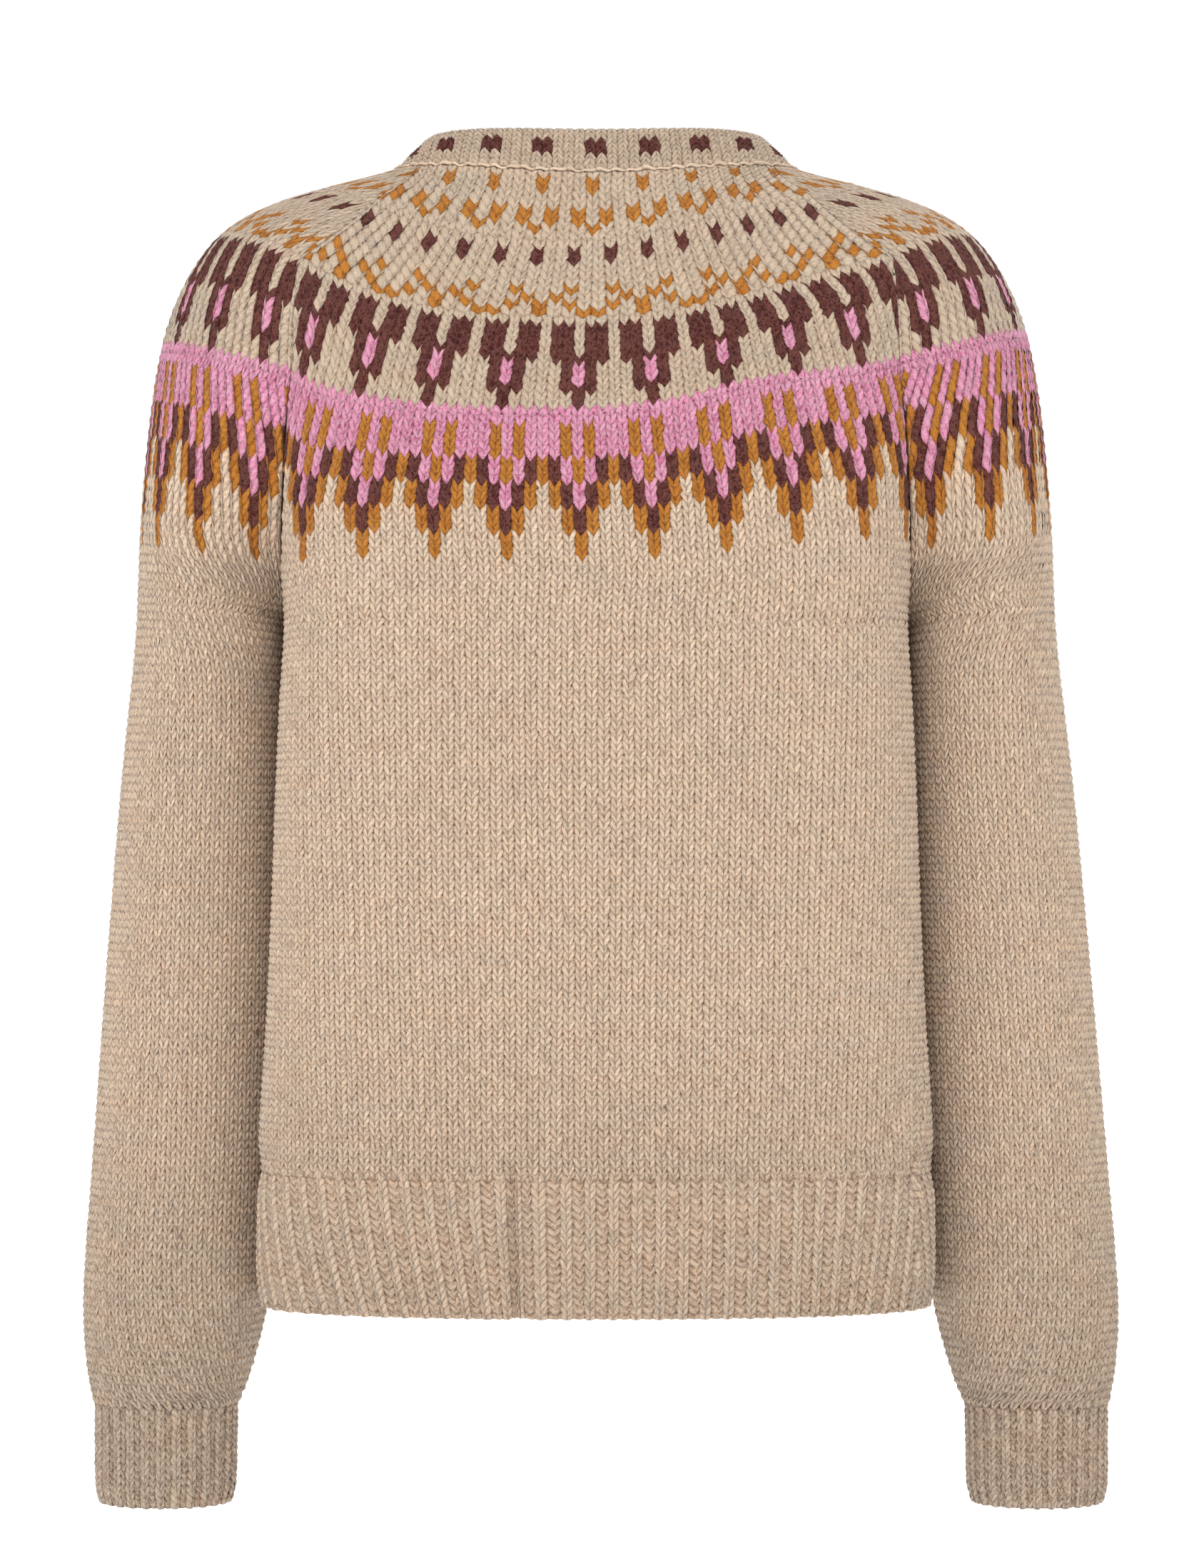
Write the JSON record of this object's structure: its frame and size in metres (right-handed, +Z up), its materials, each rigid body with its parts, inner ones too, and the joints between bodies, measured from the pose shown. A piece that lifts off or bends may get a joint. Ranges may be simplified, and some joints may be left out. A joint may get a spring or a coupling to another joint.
{
  "type": "cardigan",
  "caption": "Hand-knitted wool cardigan with a round patterned yoke, raglan sleeves, ribbed hem, cuffs and neckband, filled out as if worn and buttoned up the front.",
  "frame": {"origin": "middle of the neck's base, where the wearer's shoulders carry the garment", "axes": "+Z up, +X towards the wearer's left, the wearer faces -Y, so the back faces +Y"},
  "size_m": [0.5258, 0.253, 0.683],
  "materials": {
    "oatmeal_knit": "stocking-stitch wool, matt, with a soft fuzz",
    "oatmeal_rib": "ribbed wool, matt, with a soft fuzz",
    "button_wood": "turned and waxed"
  },
  "bodies": {
    "root": {"back": "oatmeal_knit", "front_left": "oatmeal_knit", "front_right": "oatmeal_knit", "sleeve_left": "oatmeal_knit", "sleeve_right": "oatmeal_knit", "neckband": "oatmeal_rib", "hem_rib_back": "oatmeal_rib", "hem_rib_front_left": "oatmeal_rib", "hem_rib_front_right": "oatmeal_rib", "cuff_left": "oatmeal_rib", "cuff_right": "oatmeal_rib", "button_band_left": "oatmeal_rib", "buttonhole_band_right": "oatmeal_rib", "button_1": "button_wood", "button_2": "button_wood", "button_3": "button_wood", "button_4": "button_wood", "button_5": "button_wood", "button_6": "button_wood", "button_7": "button_wood"}
  },
  "joints": []
}
